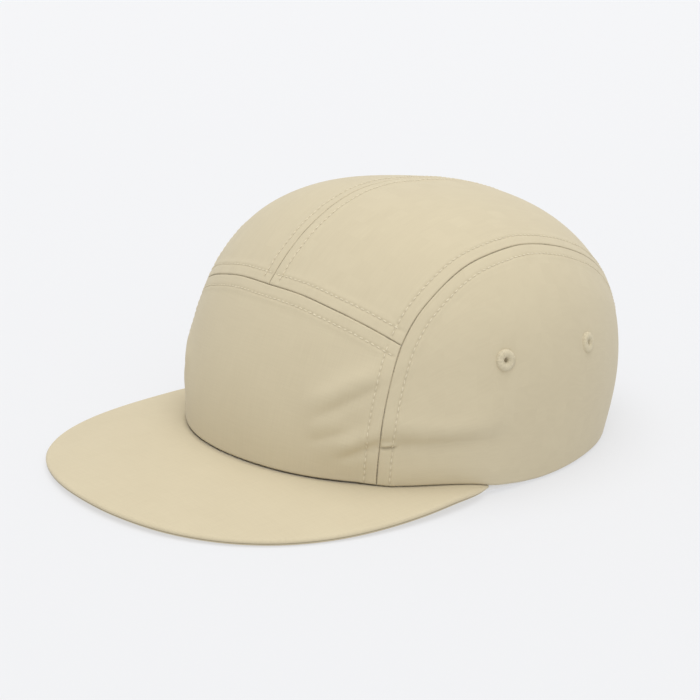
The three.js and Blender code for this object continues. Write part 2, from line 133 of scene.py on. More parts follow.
world = bpy.data.worlds.new("studio")
world.use_nodes = True
world.node_tree.nodes["Background"].inputs["Color"].default_value = WORLD_COLOUR
world.node_tree.nodes["Background"].inputs["Strength"].default_value = WORLD_STRENGTH
bpy.context.scene.world = world
bpy.context.scene.view_settings.view_transform = "Standard"

for name, (strength, turn, climb) in LAMPS.items():
    lamp = bpy.data.objects.new(name, bpy.data.lights.new(name, "SUN"))
    lamp.data.energy = strength
    lamp.data.angle = LAMP_DISC
    facing = Matrix.Rotation(CAMERA_TURN + math.radians(turn), 4, "Z")
    lamp.matrix_world = facing @ Matrix.Rotation(math.radians(90 - climb), 4, "X")
    bpy.context.scene.collection.objects.link(lamp)
print("floor", 2 * FLOOR_REACH, "m wide, one world and", len(LAMPS), "wide suns")

# %% [markdown]
# ## Cloth as a material
#
# The cloth is a tight plain weave: smooth, matt, with a faint sheen where it turns away. Two cosine waves
# multiplied give the checkerboard of thread crossings, and they read the piece's own UV map, which is kept
# in millimetres, so that the threads follow the cloth over every curve. Noise stretched along each thread
# direction stands for threads that are a little thicker here and there, and it also tints the colour.
#
# Little light gets down into a seam or a needle hole, so shade is painted there: an attribute of the mesh
# says how much painted shade each vertex has, and the material mixes its colour towards a dark brown. The
# same attribute paints shade along one fold's valley and along the bottom of the peak's edge.

# %% Cloth material
THREAD_PITCH = 0.46  # mm from one thread to the next
SLUB = (0.6, 14)  # mm across and along a thick place of a thread
PATCH = 22  # mm across a patch of slightly other colour
WEAVE_SHARE = 0.5  # of the cloth's relief, where the slubs have 1
RIB_SHARE = 3.0
SLUB_TINT = 0.35
PATCH_TINT = 0.3
TINT_ENDS = (0.36, 0.64)  # where the tint is fully dark and fully light
CLOTH_SPECULAR = 0.25
SHEEN_ROUGHNESS = 0.45
# Painted shade: where a vertex's attribute asks for it, the cloth's colour is mixed towards this dark brown
PAINTED_SHADE_ATTRIBUTE = "painted_shade"
PAINTED_SHADE_COLOUR = (0.13, 0.095, 0.055, 1)


def add_node(tree, kind, **settings):
    """A new node with its settings, and its unlinked inputs given by name."""
    node = tree.nodes.new(kind)
    for name, value in settings.items():
        if name in node.inputs:
            node.inputs[name].default_value = value
        else:
            setattr(node, name, value)
    return node


def math_node(tree, operation, first, second):
    """A Math node that combines two numbers or outputs."""
    node = tree.nodes.new("ShaderNodeMath")
    node.operation = operation
    for socket, value in zip(node.inputs, (first, second)):
        if isinstance(value, (int, float)):
            socket.default_value = value
        else:
            tree.links.new(value, socket)
    return node.outputs[0]


def stretched_noise(tree, uv, across, along):
    """Noise drawn out into short streaks: one value for each feature size, in mm."""
    mapping = add_node(tree, "ShaderNodeMapping", Scale=(1 / across, 1 / along, 1))
    tree.links.new(uv, mapping.inputs["Vector"])
    streaks = add_node(tree, "ShaderNodeTexNoise", Scale=1.0, Detail=2.0, Roughness=0.5)
    tree.links.new(mapping.outputs[0], streaks.inputs["Vector"])
    return streaks.outputs["Fac"]


def cloth_material(name, dark, light, roughness, sheen, weave_depth, pitch=THREAD_PITCH, ribs=0.0):
    """Woven cloth between two near colours. weave_depth and pitch are in mm, and so is the step of ribs."""
    material = bpy.data.materials.new(name)
    material.use_nodes = True
    tree = material.node_tree
    shader = tree.nodes["Principled BSDF"]
    shader.inputs["Roughness"].default_value = roughness
    shader.inputs["Specular IOR Level"].default_value = CLOTH_SPECULAR
    shader.inputs["Sheen Weight"].default_value = sheen
    shader.inputs["Sheen Roughness"].default_value = SHEEN_ROUGHNESS
    uv = add_node(tree, "ShaderNodeUVMap", uv_map="cloth_mm").outputs[0]
    parts = tree.nodes.new("ShaderNodeSeparateXYZ")
    tree.links.new(uv, parts.inputs[0])
    turn = math.pi / pitch
    warp = math_node(tree, "COSINE", math_node(tree, "MULTIPLY", parts.outputs[0], turn), 0)
    weft = math_node(tree, "COSINE", math_node(tree, "MULTIPLY", parts.outputs[1], turn), 0)
    weave = math_node(tree, "MULTIPLY", warp, weft)
    slubs_along = stretched_noise(tree, uv, *SLUB)
    slubs_across = stretched_noise(tree, uv, *reversed(SLUB))
    slubs = math_node(tree, "ADD", slubs_along, slubs_across)
    height = math_node(tree, "ADD", math_node(tree, "MULTIPLY", weave, WEAVE_SHARE), slubs)
    if ribs:
        rib = math_node(tree, "SINE", math_node(tree, "MULTIPLY", parts.outputs[1], 2 * math.pi / ribs), 0)
        height = math_node(tree, "ADD", height, math_node(tree, "MULTIPLY", rib, RIB_SHARE))
    bump = add_node(tree, "ShaderNodeBump", Strength=1.0, Distance=weave_depth * MM)
    tree.links.new(height, bump.inputs["Height"])
    tree.links.new(bump.outputs[0], shader.inputs["Normal"])
    patches = math_node(tree, "MULTIPLY", stretched_noise(tree, uv, PATCH, PATCH), PATCH_TINT)
    tint = math_node(tree, "ADD", math_node(tree, "MULTIPLY", slubs, SLUB_TINT), patches)
    ramp = tree.nodes.new("ShaderNodeValToRGB")
    for element, position, colour in zip(ramp.color_ramp.elements, TINT_ENDS, (dark, light)):
        element.position = position
        element.color = (*colour, 1)
    tree.links.new(tint, ramp.inputs[0])
    # painted shade: the attribute mixes the cloth's colour towards the dark brown
    painted_shade = add_node(tree, "ShaderNodeAttribute", attribute_name=PAINTED_SHADE_ATTRIBUTE)
    cloth = add_node(tree, "ShaderNodeMixRGB", Color2=PAINTED_SHADE_COLOUR)
    tree.links.new(painted_shade.outputs["Fac"], cloth.inputs["Fac"])
    tree.links.new(ramp.outputs[0], cloth.inputs["Color1"])
    tree.links.new(cloth.outputs[0], shader.inputs["Base Color"])
    return material


CROWN_WEAVE = {"roughness": 0.82, "sheen": 0.12, "weave_depth": 0.012}
crown_cloth = cloth_material("crown_cloth", (0.535, 0.465, 0.322), (0.562, 0.492, 0.343), **CROWN_WEAVE)
peak_cloth = cloth_material("peak_cloth", (0.535, 0.463, 0.318), (0.562, 0.49, 0.34), **CROWN_WEAVE)
band_cloth = cloth_material(
    "band_cloth", (0.84, 0.83, 0.81), (0.89, 0.885, 0.87), roughness=0.9, sheen=0.1, weave_depth=0.02)
webbing = cloth_material(
    "webbing", (0.54, 0.455, 0.305), (0.6, 0.51, 0.345), roughness=0.8, sheen=0.1, weave_depth=0.03,
    pitch=0.7, ribs=1.6)
print("cloth with", THREAD_PITCH, "mm between threads")

# %% [markdown]
# ## Thread and plastic
#
# Thread is lighter than the cloth and a little glossier, because its fibres all run one way. The slider is
# moulded plastic: its surface has the fine, even grain of a spark-eroded mould.

# %% Thread and plastic materials
THREAD_LOOK = {"Roughness": 0.7, "Specular IOR Level": 0.3, "Sheen Weight": 0.1}
FIBRES = {"Scale": 4500.0, "Detail": 2.0}
FIBRE_RELIEF = {"Strength": 0.6, "Distance": 0.03 * MM}
FIBRE_DARK = 0.92  # the darkest fibres have this share of the thread's colour
GRAIN = {"Scale": 3200.0, "Detail": 3.0}
GRAIN_RELIEF = {"Strength": 0.5, "Distance": 0.02 * MM}
GLOSS = {"To Min": 0.38, "To Max": 0.55}


def uneven_surface(tree, pattern, relief):
    """Fine noise on the piece's own position that also raises its surface. It returns the noise."""
    shader = tree.nodes["Principled BSDF"]
    where = tree.nodes.new("ShaderNodeTexCoord").outputs["Object"]
    fine = add_node(tree, "ShaderNodeTexNoise", **pattern)
    tree.links.new(where, fine.inputs["Vector"])
    bump = add_node(tree, "ShaderNodeBump", **relief)
    tree.links.new(fine.outputs["Fac"], bump.inputs["Height"])
    tree.links.new(bump.outputs[0], shader.inputs["Normal"])
    return fine.outputs["Fac"]


def thread_material(name, colour):
    """Spun thread with a fibrous, slightly uneven surface."""
    material = bpy.data.materials.new(name)
    material.use_nodes = True
    tree = material.node_tree
    shader = tree.nodes["Principled BSDF"]
    for socket, value in THREAD_LOOK.items():
        shader.inputs[socket].default_value = value
    fibres = uneven_surface(tree, FIBRES, FIBRE_RELIEF)
    ramp = tree.nodes.new("ShaderNodeValToRGB")
    ramp.color_ramp.elements[0].color = (*[value * FIBRE_DARK for value in colour], 1)
    ramp.color_ramp.elements[1].color = (*colour, 1)
    tree.links.new(fibres, ramp.inputs[0])
    tree.links.new(ramp.outputs[0], shader.inputs["Base Color"])
    return material


def plastic_material(name, colour):
    """Moulded plastic with a fine grain and slightly uneven gloss."""
    material = bpy.data.materials.new(name)
    material.use_nodes = True
    tree = material.node_tree
    shader = tree.nodes["Principled BSDF"]
    shader.inputs["Base Color"].default_value = (*colour, 1)
    gloss = add_node(tree, "ShaderNodeMapRange", **GLOSS)
    tree.links.new(uneven_surface(tree, GRAIN, GRAIN_RELIEF), gloss.inputs["Value"])
    tree.links.new(gloss.outputs[0], shader.inputs["Roughness"])
    return material


sewing_thread = thread_material("sewing_thread", (0.69, 0.62, 0.46))
eyelet_thread = thread_material("eyelet_thread", (0.6, 0.53, 0.375))
slider_plastic = plastic_material("slider_plastic", (0.46, 0.39, 0.27))
print("thread and plastic are ready")

# %% [markdown]
# ## Helpers for shapes
#
# A solid of the frame is a bag of loose triangles. Merging its doubles makes one surface of it again, and
# joining the triangles in pairs gives quads, which subdivide smoothly. `topology_influence` makes the pairs
# follow the quads next to them, so that a regular grid comes back as a regular grid.

# %% Shape helpers
MERGE_REACH = 0.005 * MM


def solid_surface(node):
    """One solid of the frame as a merged copy of its surface."""
    shape = bmesh.new()
    shape.from_mesh(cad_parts[node].data)
    bmesh.ops.remove_doubles(shape, verts=shape.verts, dist=MERGE_REACH)
    shape.normal_update()
    return shape


def pair_triangles(shape):
    """Joins triangles into quads that follow their neighbours."""
    bmesh.ops.join_triangles(
        shape,
        faces=[face for face in shape.faces if len(face.verts) == 3],
        angle_face_threshold=math.pi,
        angle_shape_threshold=math.pi,
        topology_influence=1.0,
    )


def add_piece(name, shape, material, nodes=()):
    """The bmesh as a finished piece of the cap that stands for these solids."""
    mesh = bpy.data.meshes.new(name)
    shape.to_mesh(mesh)
    shape.free()
    mesh.materials.append(material)
    mesh.shade_smooth()
    piece = bpy.data.objects.new(name, mesh)
    bpy.context.scene.collection.objects.link(piece)
    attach(piece, "root")
    if nodes:
        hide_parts(*nodes)
    return piece


def ease(value, low, high):
    """0 below low, 1 above high, and a smooth step between."""
    share = min(max((value - low) / (high - low), 0), 1)
    return share * share * (3 - 2 * share)


def bell(distance, width):
    """1 at no distance, and less the further away, along a bell-shaped curve."""
    return math.exp(-(distance / width) ** 2)


def subdivided(shape, levels):
    """The bmesh after a Subdivision Surface, as a new bmesh."""
    mesh = bpy.data.meshes.new("before")
    shape.to_mesh(mesh)
    shape.free()
    carrier = bpy.data.objects.new("carrier", mesh)
    bpy.context.scene.collection.objects.link(carrier)
    modifier = carrier.modifiers.new("smooth", "SUBSURF")
    modifier.levels = levels
    modifier.render_levels = levels
    modifier.boundary_smooth = "PRESERVE_CORNERS"
    seen = carrier.evaluated_get(bpy.context.evaluated_depsgraph_get())
    fine = bmesh.new()
    fine.from_mesh(seen.to_mesh())
    seen.to_mesh_clear()
    bpy.data.objects.remove(carrier)
    fine.normal_update()
    return fine


print("helpers are ready")

# %% [markdown]
# ## The panels' outer skins
#
# Each panel is a wall of cloth. Its outer skin is the set of faces that look away from the middle of the
# crown, so the dot product of a face's normal with the direction from that middle tells it from the inner
# skin and from the cut edges. The side panels' eyelet holes are closed for now, because a clean grid
# subdivides better, and are opened again in the fine mesh.
#
# The weave needs a UV map. A real panel was cut flat and then sewn into shape, and Blender's Unwrap does the
# same backwards. The map is then scaled so that one unit is one millimetre of cloth.

# %% Outer skins
CROWN_MIDDLE = Vector((0, 30, 25)) * MM
OUTWARD = 0.6  # a face of the outer skin has at least this dot product
PANEL_LEVELS = 3
EYELET_CLEAR = 3.4 * MM  # the rim of an eyelet's hole lies nearer than this to the eyelet's middle
PANELS = ("front_panel", "top_panel_left", "top_panel_right", "side_panel_left", "side_panel_right")
EYELETS = [f"eyelet_{side}_{end}" for side in ("left", "right") for end in ("front", "back")]


def middle_of(node):
    """The middle of a solid's box."""
    low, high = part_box(node)
    return (low + high) / 2


def panel_of(eyelet):
    """The name of the panel that an eyelet is sewn into."""
    return "side_panel_" + eyelet.split("_")[1]


def close_hole(shape, centre):
    """Takes the rim of an eyelet hole away and fills the gap that it leaves with one face."""
    rim = {vert for vert in shape.verts if (vert.co - centre).length < EYELET_CLEAR}
    torn = {face for vert in rim for face in vert.link_faces}
    around = [edge for edge in {edge for face in torn for edge in face.edges} if not rim & set(edge.verts)]
    bmesh.ops.delete(shape, geom=list(rim), context="VERTS")
    filled = bmesh.ops.holes_fill(shape, edges=around, sides=0)["faces"]
    print("hole closed with", [len(face.verts) for face in filled], "corners")


def outer_skin(node):
    """The face of a panel that looks outwards, as quads."""
    shape = solid_surface(node)
    hidden = [face for face in shape.faces
              if face.normal.dot((face.calc_center_median() - CROWN_MIDDLE).normalized()) < OUTWARD]
    bmesh.ops.delete(shape, geom=hidden, context="FACES")
    for eyelet in EYELETS:
        if node == panel_of(eyelet):
            close_hole(shape, middle_of(eyelet))
    pair_triangles(shape)
    shape.verts.layers.float.new(PAINTED_SHADE_ATTRIBUTE)
    return shape


def lay_flat(shape):
    """Adds the UV map of a panel, in millimetres of cloth."""
    mesh = bpy.data.meshes.new("pattern")
    shape.to_mesh(mesh)
    shape.free()
    pattern = bpy.data.objects.new("pattern", mesh)
    bpy.context.scene.collection.objects.link(pattern)
    bpy.context.view_layer.objects.active = pattern
    pattern.select_set(True)
    mesh.uv_layers.new(name="cloth_mm")
    bpy.ops.object.mode_set(mode="EDIT")
    bpy.ops.mesh.select_all(action="SELECT")
    bpy.ops.uv.unwrap(method="ANGLE_BASED", margin=0)
    bpy.ops.object.mode_set(mode="OBJECT")
    flat = bmesh.new()
    flat.from_mesh(mesh)
    bpy.data.objects.remove(pattern)
    layer = flat.loops.layers.uv["cloth_mm"]
    edges = [edge for edge in flat.edges if edge.link_loops]
    lengths = sum(edge.calc_length() for edge in edges)
    drawn = sum((edge.link_loops[0][layer].uv - edge.link_loops[0].link_loop_next[layer].uv).length
                for edge in edges)
    for face in flat.faces:
        for loop in face.loops:
            loop[layer].uv *= lengths / drawn / MM
    return flat


skins = {}
for name in PANELS:
    skins[name] = subdivided(lay_flat(outer_skin(name)), PANEL_LEVELS)
    print(name, "has", len(skins[name].faces), "faces")

# %% [markdown]
# ## Seam lines
#
# A seam is where two panels' edges run side by side. Walking round each panel's edge and asking which other
# panel lies next to each point splits the edge into runs: one for each seam, and free runs along the rim and
# the back opening. The frame leaves a small gap between panels, and cloth that is sewn together has none, so
# the two edges are drawn together to the line between them.

# %% Seam lines
SEAMS = {
    "front_panel": {
        "front": ("top_panel_left", "top_panel_right"),
        "left": ("side_panel_left",),
        "right": ("side_panel_right",),
    },
    "top_panel_left": {
        "front": ("front_panel",),
        "centre": ("top_panel_right",),
        "left": ("side_panel_left",),
    },
    "top_panel_right": {
        "front": ("front_panel",),
        "centre": ("top_panel_left",),
        "right": ("side_panel_right",),
    },
    "side_panel_left": {"left": ("front_panel", "top_panel_left")},
    "side_panel_right": {"right": ("front_panel", "top_panel_right")},
}
SEAM_REACH = 1.0 * MM
LINE_STEP = 0.125 * MM


def walk_edge(shape):
    """The vertices round a panel's edge, in order."""
    start = next(vert for vert in shape.verts if vert.is_boundary)
    chain, before, here = [start], None, start
    while True:
        ahead = next(edge.other_vert(here) for edge in here.link_edges
                     if edge.is_boundary and edge.other_vert(here) is not before)
        if ahead is start:
            return chain
        chain.append(ahead)
        before, here = here, ahead


def spaced(points, step):
    """Points at even steps along a line of points."""
    made, spare = [points[0].copy()], step
    for start, end in zip(points, points[1:]):
        length = (end - start).length
        along = spare
        while along <= length:
            made.append(start.lerp(end, along / length))
            along += step
        spare = along - length
    return made


def tree_of(points):
    """A search tree over points."""
    tree = KDTree(len(points))
    for index, point in enumerate(points):
        tree.insert(point, index)
    tree.balance()
    return tree


def edge_tree(chain):
    """A search tree over points at even steps round a panel's edge."""
    return tree_of(spaced([vert.co.copy() for vert in chain + chain[:1]], LINE_STEP))


chains = {name: walk_edge(skin) for name, skin in skins.items()}
edge_trees = {name: edge_tree(chain) for name, chain in chains.items()}


def neighbour(name, point):
    """The seam that a point of a panel's edge belongs to, and the nearest point across it."""
    found = []
    for seam, others in SEAMS[name].items():
        for other in others:
            across, _, distance = edge_trees[other].find(point)
            if distance < SEAM_REACH:
                found.append((distance, seam, across))
    return min(found)[1:] if found else (None, None)


runs = {}
for name, chain in chains.items():
    sides = [neighbour(name, vert.co) for vert in chain]
    starts = [i for i in range(len(chain)) if sides[i][0] != sides[i - 1][0]]
    runs[name] = []
    for start, end in zip(starts, starts[1:] + [starts[0] + len(chain)]):
        members = [i % len(chain) for i in range(start, end)]
        runs[name].append((sides[start][0], [chain[i] for i in members]))
    for vert, (seam, across) in zip(chain, sides):
        if seam:
            vert.co = (vert.co + across) / 2
    print(name, [(seam or "free", len(run)) for seam, run in runs[name]])

# %% [markdown]
# ## Rows of topstitching
#
# After a seam is sewn, its allowances are pressed open and a row of stitches on each side holds them down.
# A row runs a fixed way in from the seam, so each point of the seam is moved that far across the cloth and
# dropped onto the skin. The two ends of a seam are carried on a little, and what then falls outside the panel
# is left out, so the rows end at the rim and at the seams that were sewn later.

# %% Stitch rows
ROW_INSET = 5.0 * MM
ARCH_INSET = 3.5 * MM
STITCH_PITCH = 2.6 * MM
OVERRUN = 9.0 * MM
END_MARGIN = 0.9 * MM
ON_PANEL = 0.3 * MM  # a point of a row lies on its panel when the nearest spot of the skin is this near
EDGE_SPAN = 2  # vertices on each side of one that give the edge's direction there
ROW_SPAN = 5  # points that give a row's direction at its end
ARCH_FROM = 4.0 * MM  # the back opening's edge is the free edge above this height

trees = {name: BVHTree.FromBMesh(skin) for name, skin in skins.items()}


def inward(name, vert, along):
    """The direction into the panel, square to the edge, at a vertex of its edge."""
    across = vert.normal.cross(along).normalized()
    middle = sum((face.calc_center_median() for face in vert.link_faces), Vector()) / len(vert.link_faces)
    return across if across.dot(middle - vert.co) > 0 else -across


def row_beside(name, run, inset):
    """The line on a panel that lies a set way in from a run of its edge."""
    line = []
    for index, vert in enumerate(run):
        along = run[min(index + EDGE_SPAN, len(run) - 1)].co - run[max(index - EDGE_SPAN, 0)].co
        line.append(vert.co + inward(name, vert, along.normalized()) * inset)
    ahead = (line[-1] - line[-1 - ROW_SPAN]).normalized() * MM
    behind = (line[0] - line[ROW_SPAN]).normalized() * MM
    extra = range(1, int(OVERRUN / MM))
    line = [line[0] + behind * i for i in reversed(extra)] + line + [line[-1] + ahead * i for i in extra]
    kept = []
    for point in line:
        spot, normal, _, _ = trees[name].find_nearest(point)
        off = (point - spot) - normal * (point - spot).dot(normal)
        own_edge = edge_trees[name].find(spot)[2]
        if off.length < ON_PANEL and own_edge > END_MARGIN:
            kept.append(spot)
    return kept


def arch_part(run):
    """The part of a free run of edge that goes round the back opening."""
    return [vert for vert in run if vert.co.y > CROWN_MIDDLE.y and vert.co.z > ARCH_FROM]


rows = {}
for name in PANELS:
    rows[name] = [row_beside(name, run, ROW_INSET) for seam, run in runs[name] if seam]
    for run in [run for seam, run in runs[name] if not seam]:
        arch = arch_part(run)
        if arch:
            rows[name].append(row_beside(name, arch, ARCH_INSET))
    lengths = [sum((b - a).length for a, b in zip(row, row[1:])) for row in rows[name]]
    print(name, "rows in mm:", [round(length / MM) for length in lengths])

# %% [markdown]
# ## Folds
#
# The stiff band inside holds the foot of the crown in shape, and the softer cloth above it settles over it
# and buckles. Such a fold has one sharp side: the cloth swells to a crest, drops under it into a narrow
# valley, and swells out again. Each fold is named by the two ends of its valley, as a turn from straight
# ahead and a height, and it moves all the cloth near that line, so it runs on over a seam. The short, sharp
# fold just behind the front seam at the side also has shade painted along its valley.

# %% Folds
FOLDS = (  # turns in degrees; heights, depth and reach in mm; foot and painted shade as shares
    {"start": (32, 33), "end": (47, 45.8), "depth": 1.4, "reach": 5.5, "foot": 0.35, "shade": 0},
    {"start": (38.4, 17), "end": (47.8, 24.3), "depth": 1.4, "reach": 4.5, "foot": 0.3, "shade": 0},
    {"start": (30, 22.3), "end": (39, 27.8), "depth": 0.5, "reach": 4.0, "foot": 0.35, "shade": 0},
    {"start": (49, 23.6), "end": (75, 23), "depth": 1.4, "reach": 6.0, "foot": 0, "shade": 0},
    {"start": (47.6, 22.3), "end": (51.3, 22.6), "depth": 0.9, "reach": 1.3, "foot": 0, "shade": 0.5},
    {"start": (-34, 27), "end": (-45, 37), "depth": 0.9, "reach": 6.0, "foot": 0.35, "shade": 0},
    {"start": (-52, 33), "end": (-70, 31), "depth": 0.9, "reach": 6.5, "foot": 0.35, "shade": 0},
)
CREST = (0.9, 1, 0.75)  # of a fold's section: height, place above the valley and width
VALLEY = (-0.7, 0, 0.38)
FOOT = (1, -1, 0.9)
# width of the painted shade in a fold's valley, as a share of its reach
SHADE_WIDTH = 0.3
FOLD_EDGE = 4  # a fold ends this many times its reach from its line
FADE = 0.3  # the share of a fold's length over which each of its ends fades
DRAPE = 0.25 * MM
DRAPE_LENGTH = 34 * MM
FLARE = 1.6 * MM  # how far the hem stands out below the crease at the side
FLARE_TURNS = (40, 52, 76, 92)  # where it begins, is full, starts to end and has ended
FLARE_HEIGHTS = (6 * MM, 22 * MM)


def crown_spot(turn, height):
    """The point of the crown's face at a turn from straight ahead, in degrees, and a height in mm."""
    axis = Vector((0, CROWN_FOOT.y, height * MM))
    outwards = Vector((math.sin(math.radians(turn)), -math.cos(math.radians(turn)), 0))
    return next(hit for hit, _, _, _ in (tree.ray_cast(axis, outwards) for tree in trees.values()) if hit)


fold_lines = []
for fold in FOLDS:
    start, end = crown_spot(*fold["start"]), crown_spot(*fold["end"])
    along = end - start
    outwards = (start + end) / 2 - Vector((0, CROWN_FOOT.y, start.z))
    above = along.cross(outwards).normalized()
    above = above if above.z > 0 else -above
    fold_lines.append({**fold, "start": start, "along": along, "above": above})
    print("fold of", round(along.length / MM), "mm, deep", fold["depth"], "mm")


def swell(climb, height, middle, width):
    """One round swelling of a fold's section."""
    return height * bell(climb - middle, width)


def flared(point):
    """How far the hem stands out at a point of the crown's left side."""
    turn = math.degrees(math.atan2(point.x, CROWN_FOOT.y - point.y))
    share = ease(turn, *FLARE_TURNS[:2]) * (1 - ease(turn, *FLARE_TURNS[2:]))
    return FLARE * share * (1 - ease(point.z, *FLARE_HEIGHTS))


def folded(point):
    """How far the folds and the soft wave of the cloth lift it at a point, and how much shade is painted in a
    fold's valley there.
    """
    lift, shade = DRAPE * noise.noise(point / DRAPE_LENGTH) + flared(point), 0
    for fold in fold_lines:
        offset = point - fold["start"]
        share = offset.dot(fold["along"]) / fold["along"].length_squared
        away = (offset - fold["along"] * share).length / (fold["reach"] * MM)
        if -FADE < share < 1 + FADE and away < FOLD_EDGE:
            climb = offset.dot(fold["above"]) / (fold["reach"] * MM)
            ends = ease(share, -FADE, FADE) * (1 - ease(share, 1 - FADE, 1 + FADE))
            section = swell(climb, *CREST) + swell(climb, *VALLEY) + fold["foot"] * swell(climb, *FOOT)
            lift += fold["depth"] * MM * ends * section
            # painted shade along the fold's valley
            shade += fold["shade"] * ends * bell(climb, SHADE_WIDTH)
    return lift, shade


# %% [markdown]
# ## The corners of the peak
#
# The hem of the crown lies on the root of the peak as far as the peak's two corners. There the hem stays up
# a little longer than the frame's does, and then comes down at once, so that the corner is a sharp point
# just under it. One function gives that rise, and it moves the panels and the peak alike.

# %% Corners of the peak
CORNER_RISE = 1.2 * MM
CORNER_BACK = 1.1 * MM
CORNER_REACH = 14 * MM
ROOT_REACH = (2 * MM, 12 * MM)  # the peak follows the hem fully and not at all at these distances from it
peak_spots = [vert.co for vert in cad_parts["peak"].data.vertices]
halves = [[spot for spot in peak_spots if spot.x * side > 0] for side in (1, -1)]
corners = [max(half, key=lambda spot: spot.y) for half in halves]
print("peak's corners:", [[round(value / MM, 1) for value in corner] for corner in corners])


def near_corner(point):
    """1 at a corner of the peak, and less the further a point is from it."""
    away = min((point - corner).length for corner in corners)
    return bell(away, CORNER_REACH)


# %% [markdown]
# ## Relief of the cloth
#
# The fine skins are now shaped by moving each vertex along its normal. Near a seam the cloth rolls down into
# the join; the allowance under it makes it a little thicker as far as the row; each row pulls a shallow
# valley, deepest at the needle holes; and the thread's pull leaves soft puckers across the seam. Shade is
# painted too: a thin dark line along each seam, broken by light dots and fainter in patches, and a little in
# each needle hole. Only the strips beside the panel's edges need small faces, so those strips are subdivided
# again first, and once more right beside the seams.

# %% Relief
FINE_REACH = 6.0 * MM  # from a panel's edge
FINEST_REACH = 0.8 * MM  # from a seam
ROLL_DEPTH = 0.7 * MM
ROLL_WIDTH = 0.8 * MM
ALLOWANCE = 0.3 * MM  # its thickness
ALLOWANCE_END = (5.6 * MM, 8.2 * MM)  # it thins out between these distances from the seam
VALLEY_DEPTH = 0.18 * MM
VALLEY_WIDTH = 0.8 * MM
ROW_EFFECT = 4 * VALLEY_WIDTH  # a row moves nothing that is further away
HOLE_DEPTH = 0.14 * MM
HOLE_WIDTH = 0.5 * MM
PUCKER = 0.2 * MM
PUCKER_LENGTH = 6.0 * MM  # along the seam
PUCKER_SPAN = 4 * PUCKER_LENGTH  # across it
PUCKER_LAYER = 3.7  # where the puckers' noise is read
PUCKER_RISE = 3.0 * MM  # the puckers grow over this distance from the seam
PUCKER_END = (6.0 * MM, 13.0 * MM)
# painted shade along the middle of each seam, mixed towards the dark brown
SEAM_SHADE = 0.5
SEAM_SHADE_WIDTH = 0.25 * MM
SEAM_DOTS = 0.8 * MM  # the seam's painted shade is broken by light dots of about this size, where its own thread shows
SEAM_DOT_SHARE = 0.6
DOT_NOISE = (-0.3, 0.3)  # a dot grows between these values of the noise
SEAM_CHANGE = 9 * MM  # the seam's painted shade is fainter in some places, about this long
SEAM_FAINT = 0.3  # the share of its shade that is left there
CHANGE_NOISE = (-0.3, 0.1)
# painted shade in each needle hole
HOLE_SHADE = 0.1
ROW_STEP = 0.3 * MM  # between the points that stand for a row


def refine(shape, lines, reach):
    """Subdivides the faces that lie within reach of the lines."""
    near = [edge for edge in shape.edges
            if min(lines.find(vert.co)[2] for vert in edge.verts) < reach]
    bmesh.ops.subdivide_edges(shape, edges=near, cuts=1, use_grid_fill=True)
    shape.normal_update()


def rolled(away):
    """How far cloth has sunk, as a share, where it rolls round a quarter circle into an edge."""
    share = min(max(1 - away / ROLL_WIDTH, 0), 1)
    return 1 - math.sqrt(1 - share * share)


def relief(point, seam_line, edge_line, row_line, holes):
    """How far the cloth stands above the plain skin at a point, and how much shade is painted there by a
    seam, a needle hole or a fold.
    """
    lift, shade = folded(point)
    lift -= ROLL_DEPTH * rolled(edge_line.find(point)[2])
    _, index, away = seam_line.find(point)
    dots = SEAM_DOT_SHARE * ease(noise.noise(point / SEAM_DOTS), *DOT_NOISE)
    shade_kept = SEAM_FAINT + (1 - SEAM_FAINT) * ease(noise.noise(point / SEAM_CHANGE), *CHANGE_NOISE)
    # painted shade: a thin dark line along the seam
    shade = max(shade, SEAM_SHADE * shade_kept * (1 - dots) * bell(away, SEAM_SHADE_WIDTH))
    if away < PUCKER_END[1]:
        lift += ALLOWANCE * (1 - ease(away, *ALLOWANCE_END))
        along = index * LINE_STEP / PUCKER_LENGTH
        ripple = noise.noise(Vector((along, away / PUCKER_SPAN, PUCKER_LAYER)))
        lift += PUCKER * ripple * ease(away, 0, PUCKER_RISE) * (1 - ease(away, *PUCKER_END))
    to_row = row_line.find(point)[2]
    if to_row < ROW_EFFECT:
        in_hole = bell(holes.find(point)[2], HOLE_WIDTH)
        lift -= VALLEY_DEPTH * bell(to_row, VALLEY_WIDTH) + HOLE_DEPTH * in_hole
        shade = max(shade, HOLE_SHADE * in_hole)
    return lift, shade


stitches = {name: [spaced(row, STITCH_PITCH) for row in lines] for name, lines in rows.items()}
for name, skin in skins.items():
    seam_points = [spaced([vert.co.copy() for vert in run], LINE_STEP) for seam, run in runs[name] if seam]
    seam_line = tree_of(sum(seam_points, []))
    edge_line = edge_tree(chains[name])
    row_line = tree_of(sum([spaced(row, ROW_STEP) for row in rows[name]], []))
    holes = tree_of(sum(stitches[name], []))
    refine(skin, edge_line, FINE_REACH)
    refine(skin, seam_line, FINEST_REACH)
    # the painted shade of each vertex is kept in this layer
    layer = skin.verts.layers.float[PAINTED_SHADE_ATTRIBUTE]
    moves = [(vert, vert.normal.copy(), *relief(vert.co, seam_line, edge_line, row_line, holes))
             for vert in skin.verts]
    for vert, outwards, lift, shade in moves:
        vert.co.z += CORNER_RISE * near_corner(vert.co)
        vert.co += outwards * lift
        vert[layer] = shade
    skin.normal_update()
    print(name, "has", len(skin.faces), "faces after its relief")

# %% [markdown]
# ## Eyelet holes
#
# The holes are opened in the fine skin by deleting the faces at their middle. What is left of the rim is
# ragged, so its vertices are drawn onto a circle; the eyelet's thread then covers it.

